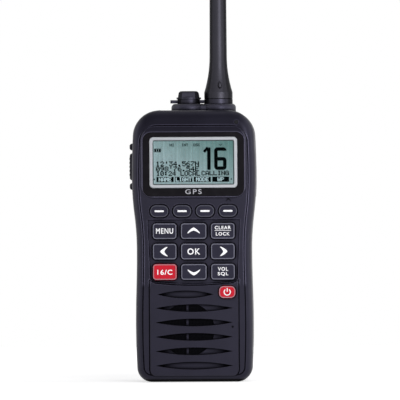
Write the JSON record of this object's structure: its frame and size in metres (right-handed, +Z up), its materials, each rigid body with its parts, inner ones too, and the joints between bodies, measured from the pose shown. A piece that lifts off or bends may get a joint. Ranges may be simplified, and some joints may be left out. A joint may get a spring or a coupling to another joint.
{
  "type": "handheld marine radio",
  "caption": "Upright two-way radio with a display, front keys, push-to-talk side key, slotted loudspeaker, stub aerial, capped jack, clip-on battery pack and belt clip.",
  "frame": {"origin": "middle of the flat base on which the radio stands", "axes": "+Z up towards the aerial, -Y the display side, +X to the holder's right when the display faces them"},
  "size_m": [0.0639, 0.0452, 0.2918],
  "materials": {
    "case": "fine-grained moulding",
    "clip_plastic": "fine-grained moulding",
    "panel_black": "polished",
    "bezel_silver": "satin",
    "lens": "clear",
    "lcd": "pale green liquid crystal cell",
    "light_guide": "milky",
    "key_rubber": "matt",
    "key_red": "matt",
    "soft_rubber": "matt",
    "aerial_rubber": "matt",
    "circuit_board": "solder mask",
    "steel": "plain",
    "brass": "plated",
    "black_plastic": "plain",
    "mesh_cloth": "woven",
    "cone_paper": "plain",
    "ceramic": "fired",
    "lamp": "translucent",
    "cell_metal": "wrapped"
  },
  "bodies": {
    "radio": {"front_case": "case", "rear_case": "case", "display_panel": "panel_black", "display_bezel": "bezel_silver", "display_lens": "lens", "lcd_cell": "lcd", "backlight": "light_guide", "case_seal": "soft_rubber", "keypad_mat": "soft_rubber", "retaining_strap": "soft_rubber", "aerial": "aerial_rubber", "main_board": "circuit_board", "side_board": "circuit_board", "top_board": "circuit_board", "shield_can": "steel", "case_screws": "steel", "speaker_frame": "steel", "aerial_socket": "brass", "socket_nuts": "brass", "radio_contacts": "brass", "aerial_core": "brass", "jack_socket": "black_plastic", "side_switches": "black_plastic", "microphone": "black_plastic", "speaker_mesh": "mesh_cloth", "speaker_cone": "cone_paper", "gps_patch": "ceramic", "status_lamp": "lamp", "beacon_lens": "lamp"},
    "soft_key_1": {"soft_key_1": "key_rubber"},
    "soft_key_2": {"soft_key_2": "key_rubber"},
    "soft_key_3": {"soft_key_3": "key_rubber"},
    "soft_key_4": {"soft_key_4": "key_rubber"},
    "menu_key": {"menu_key": "key_rubber"},
    "up_key": {"up_key": "key_rubber"},
    "clear_key": {"clear_key": "key_rubber"},
    "left_key": {"left_key": "key_rubber"},
    "ok_key": {"ok_key": "key_rubber"},
    "right_key": {"right_key": "key_rubber"},
    "channel_key": {"channel_key": "key_red"},
    "down_key": {"down_key": "key_rubber"},
    "volume_key": {"volume_key": "key_rubber"},
    "power_key": {"power_key": "key_red"},
    "talk_key": {"talk_key": "key_rubber"},
    "upper_side_key": {"upper_side_key": "key_rubber"},
    "lower_side_key": {"lower_side_key": "key_rubber"},
    "stopper": {"jack_cap": "soft_rubber", "strap_loop": "soft_rubber"},
    "battery": {"battery_case": "case", "battery_lid": "case", "battery_terminals": "brass", "battery_cells": "cell_metal", "clip_bracket": "clip_plastic", "clip_screws": "steel", "clip_pin": "steel", "clip_spring": "steel", "latch_spring": "steel"},
    "latch": {"battery_latch": "case"},
    "clip": {"belt_clip": "clip_plastic"}
  },
  "joints": [
    {"name": "soft_1_press", "type": "slide", "parent": "radio", "child": "soft_key_1", "axis": [0, 1, 0], "range_m": [0, 0.0006], "stiffness_N_per_m": 1500, "springref_m": -0.0003},
    {"name": "soft_2_press", "type": "slide", "parent": "radio", "child": "soft_key_2", "axis": [0, 1, 0], "range_m": [0, 0.0006], "stiffness_N_per_m": 1500, "springref_m": -0.0003},
    {"name": "soft_3_press", "type": "slide", "parent": "radio", "child": "soft_key_3", "axis": [0, 1, 0], "range_m": [0, 0.0006], "stiffness_N_per_m": 1500, "springref_m": -0.0003},
    {"name": "soft_4_press", "type": "slide", "parent": "radio", "child": "soft_key_4", "axis": [0, 1, 0], "range_m": [0, 0.0006], "stiffness_N_per_m": 1500, "springref_m": -0.0003},
    {"name": "menu_press", "type": "slide", "parent": "radio", "child": "menu_key", "axis": [0, 1, 0], "range_m": [0, 0.0006], "stiffness_N_per_m": 1500, "springref_m": -0.0003},
    {"name": "up_press", "type": "slide", "parent": "radio", "child": "up_key", "axis": [0, 1, 0], "range_m": [0, 0.0006], "stiffness_N_per_m": 1500, "springref_m": -0.0003},
    {"name": "clear_press", "type": "slide", "parent": "radio", "child": "clear_key", "axis": [0, 1, 0], "range_m": [0, 0.0006], "stiffness_N_per_m": 1500, "springref_m": -0.0003},
    {"name": "left_press", "type": "slide", "parent": "radio", "child": "left_key", "axis": [0, 1, 0], "range_m": [0, 0.0006], "stiffness_N_per_m": 1500, "springref_m": -0.0003},
    {"name": "ok_press", "type": "slide", "parent": "radio", "child": "ok_key", "axis": [0, 1, 0], "range_m": [0, 0.0006], "stiffness_N_per_m": 1500, "springref_m": -0.0003},
    {"name": "right_press", "type": "slide", "parent": "radio", "child": "right_key", "axis": [0, 1, 0], "range_m": [0, 0.0006], "stiffness_N_per_m": 1500, "springref_m": -0.0003},
    {"name": "channel_press", "type": "slide", "parent": "radio", "child": "channel_key", "axis": [0, 1, 0], "range_m": [0, 0.0006], "stiffness_N_per_m": 1500, "springref_m": -0.0003},
    {"name": "down_press", "type": "slide", "parent": "radio", "child": "down_key", "axis": [0, 1, 0], "range_m": [0, 0.0006], "stiffness_N_per_m": 1500, "springref_m": -0.0003},
    {"name": "volume_press", "type": "slide", "parent": "radio", "child": "volume_key", "axis": [0, 1, 0], "range_m": [0, 0.0006], "stiffness_N_per_m": 1500, "springref_m": -0.0003},
    {"name": "power_press", "type": "slide", "parent": "radio", "child": "power_key", "axis": [0, 1, 0], "range_m": [0, 0.0006], "stiffness_N_per_m": 1500, "springref_m": -0.0003},
    {"name": "talk_press", "type": "slide", "parent": "radio", "child": "talk_key", "axis": [1, 0, 0], "range_m": [0, 0.0009], "stiffness_N_per_m": 1200, "springref_m": -0.0003},
    {"name": "upper_side_press", "type": "slide", "parent": "radio", "child": "upper_side_key", "axis": [1, 0, 0], "range_m": [0, 0.0009], "stiffness_N_per_m": 1200, "springref_m": -0.0003},
    {"name": "lower_side_press", "type": "slide", "parent": "radio", "child": "lower_side_key", "axis": [1, 0, 0], "range_m": [0, 0.0009], "stiffness_N_per_m": 1200, "springref_m": -0.0003},
    {"name": "cap_lift", "type": "slide", "parent": "radio", "child": "stopper", "axis": [0, 0, 1], "range_m": [0, 0.009], "deforming": ["retaining_strap"]},
    {"name": "battery_slide", "type": "slide", "parent": "radio", "child": "battery", "axis": [0, 1, 0], "range_m": [0, 0.03]},
    {"name": "latch_slide", "type": "slide", "parent": "battery", "child": "latch", "axis": [0, 0, 1], "range_m": [0, 0.0024], "stiffness_N_per_m": 800, "springref_m": -0.001, "deforming": ["latch_spring"]},
    {"name": "clip_hinge", "type": "hinge", "parent": "battery", "child": "clip", "pos_m": [0, 0.0236, 0.08], "axis": [1, 0, 0], "range_deg": [0, 12], "stiffness_Nm_per_rad": 0.6, "springref_deg": -8.59, "deforming": ["clip_spring"]}
  ]
}
